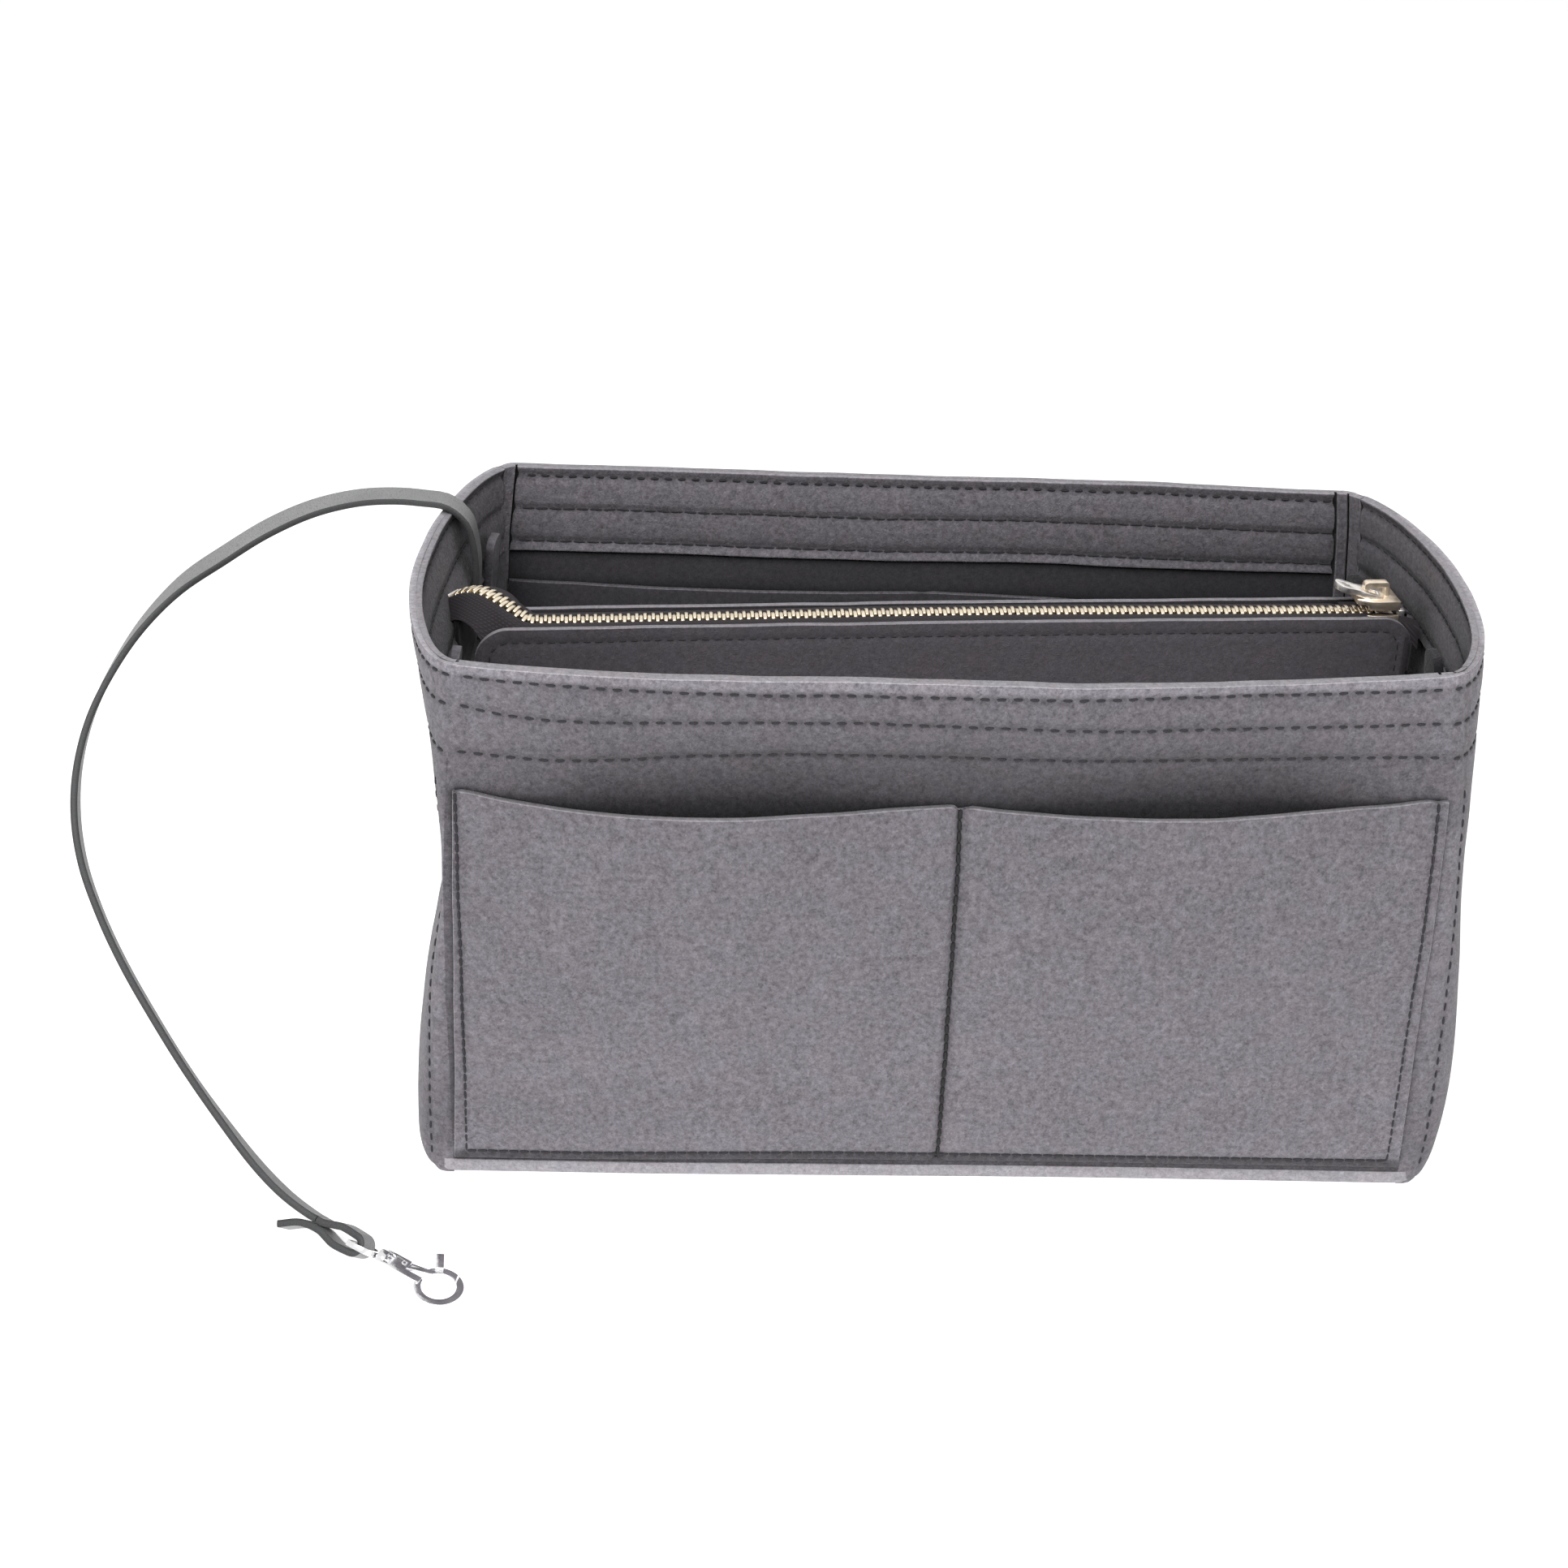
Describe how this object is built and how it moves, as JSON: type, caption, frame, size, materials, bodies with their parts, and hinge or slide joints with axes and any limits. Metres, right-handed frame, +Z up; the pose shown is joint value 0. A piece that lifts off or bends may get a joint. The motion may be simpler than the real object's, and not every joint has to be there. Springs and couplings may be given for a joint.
{
  "type": "felt bag organiser with zip pouch",
  "caption": "Open-top felt bag organiser with outer and inner pockets, a lift-out zipped middle pouch, snap tabs at the ends and a key leash with a swivel clasp.",
  "frame": {"origin": "on the table, under the middle of the felt body; the leash and its clasp are not counted", "axes": "+X along the length of the bag towards the zip slider's closed end, +Y from the pocketed front to the back, +Z up"},
  "size_m": [0.4008, 0.2163, 0.1701],
  "materials": {
    "felt": "heather grey pressed felt",
    "pouch_felt": "darker grey pressed felt",
    "zip_tape": "woven tape",
    "zip_metal": "pale gold plating",
    "touch_fastener": "hook and loop fastener",
    "leash_leather": "grey grained strap with dark edges",
    "clasp_metal": "silver plating"
  },
  "bodies": {
    "bag": {"base_tray": "felt", "front_wall": "felt", "back_wall": "felt", "left_end_panel": "felt", "right_end_panel": "felt", "front_hem": "felt", "back_hem": "felt", "left_hem": "felt", "right_hem": "felt", "front_outer_pocket": "felt", "back_outer_pocket": "felt", "front_inner_pocket": "felt", "back_inner_pocket": "felt", "pouch_ear_left_loop_pad": "touch_fastener", "pouch_ear_right_loop_pad": "touch_fastener", "leash_anchor": "leash_leather", "leash_strap": "leash_leather", "leash_loop": "leash_leather"},
    "pouch": {"pouch_front_panel": "pouch_felt", "pouch_back_panel": "pouch_felt", "pouch_strip": "pouch_felt", "zip_front_tape": "zip_tape", "zip_back_tape": "zip_tape", "zip_front_teeth": "zip_metal", "zip_back_teeth": "zip_metal", "zip_front_top_stop": "zip_metal", "zip_back_top_stop": "zip_metal", "zip_bottom_stop": "zip_metal", "pouch_ear_left": "pouch_felt", "pouch_ear_right": "pouch_felt", "pouch_ear_left_hook_pad": "touch_fastener", "pouch_ear_right_hook_pad": "touch_fastener"},
    "slider": {"zip_slider": "zip_metal"},
    "pull": {"zip_pull": "zip_metal"},
    "eye": {"clasp_eye": "clasp_metal"},
    "hook": {"clasp_hook": "clasp_metal", "clasp_lever_pin": "clasp_metal", "clasp_lever_spring": "clasp_metal"},
    "lever": {"clasp_lever": "clasp_metal"},
    "left_front": {"left_front_tab": "felt", "left_front_tab_snap": "clasp_metal"},
    "left_back": {"left_back_tab": "felt", "left_back_tab_snap": "clasp_metal"},
    "right_front": {"right_front_tab": "felt", "right_front_tab_snap": "clasp_metal"},
    "right_back": {"right_back_tab": "felt", "right_back_tab_snap": "clasp_metal"}
  },
  "joints": [
    {"name": "pouch_lift", "type": "slide", "parent": "bag", "child": "pouch", "axis": [0, 0, 1], "range_m": [0, 0.17]},
    {"name": "zip_slide", "type": "slide", "parent": "pouch", "child": "slider", "axis": [-0.9968, -0.0802, 0], "range_m": [0, 0.235], "deforming": ["zip_front_teeth", "zip_back_teeth"]},
    {"name": "zip_pull_hinge", "type": "hinge", "parent": "slider", "child": "pull", "pos_m": [0.13208, 0.01545, 0.1479], "axis": [-0.0802, 0.9968, 0], "range_deg": [-12, 125]},
    {"name": "eye_swing", "type": "hinge", "parent": "bag", "child": "eye", "pos_m": [-0.1587, -0.1167, 0.0066], "axis": [-0.254, -0.6941, 0.6736], "range_deg": [0, 25]},
    {"name": "clasp_swivel", "type": "hinge", "parent": "eye", "child": "hook", "pos_m": [-0.15132, -0.12069, 0.00527], "axis": [0.8688, -0.4698, -0.1564], "continuous": true},
    {"name": "clasp_lever_hinge", "type": "hinge", "parent": "hook", "child": "lever", "pos_m": [-0.14567, -0.12272, 0.00433], "axis": [0.1376, -0.0744, 0.9877], "range_deg": [-18, 0], "stiffness_Nm_per_rad": 0.01, "springref_deg": 20.05, "deforming": ["clasp_lever_spring"]},
    {"name": "left_front_tab_bend", "type": "hinge", "parent": "bag", "child": "left_front", "pos_m": [-0.14227, -0.03199, 0.102], "axis": [-0.0276, 0.9996, 0], "range_deg": [0, 28], "stiffness_Nm_per_rad": 0.005},
    {"name": "left_back_tab_bend", "type": "hinge", "parent": "bag", "child": "left_back", "pos_m": [-0.14118, 0.05297, 0.102], "axis": [0.0875, 0.9962, 0], "range_deg": [0, 28], "stiffness_Nm_per_rad": 0.005},
    {"name": "right_front_tab_bend", "type": "hinge", "parent": "bag", "child": "right_front", "pos_m": [0.14227, -0.03199, 0.102], "axis": [-0.0276, -0.9996, 0], "range_deg": [0, 28], "stiffness_Nm_per_rad": 0.005},
    {"name": "right_back_tab_bend", "type": "hinge", "parent": "bag", "child": "right_back", "pos_m": [0.14118, 0.05297, 0.102], "axis": [0.0875, -0.9962, 0], "range_deg": [0, 28], "stiffness_Nm_per_rad": 0.005}
  ]
}
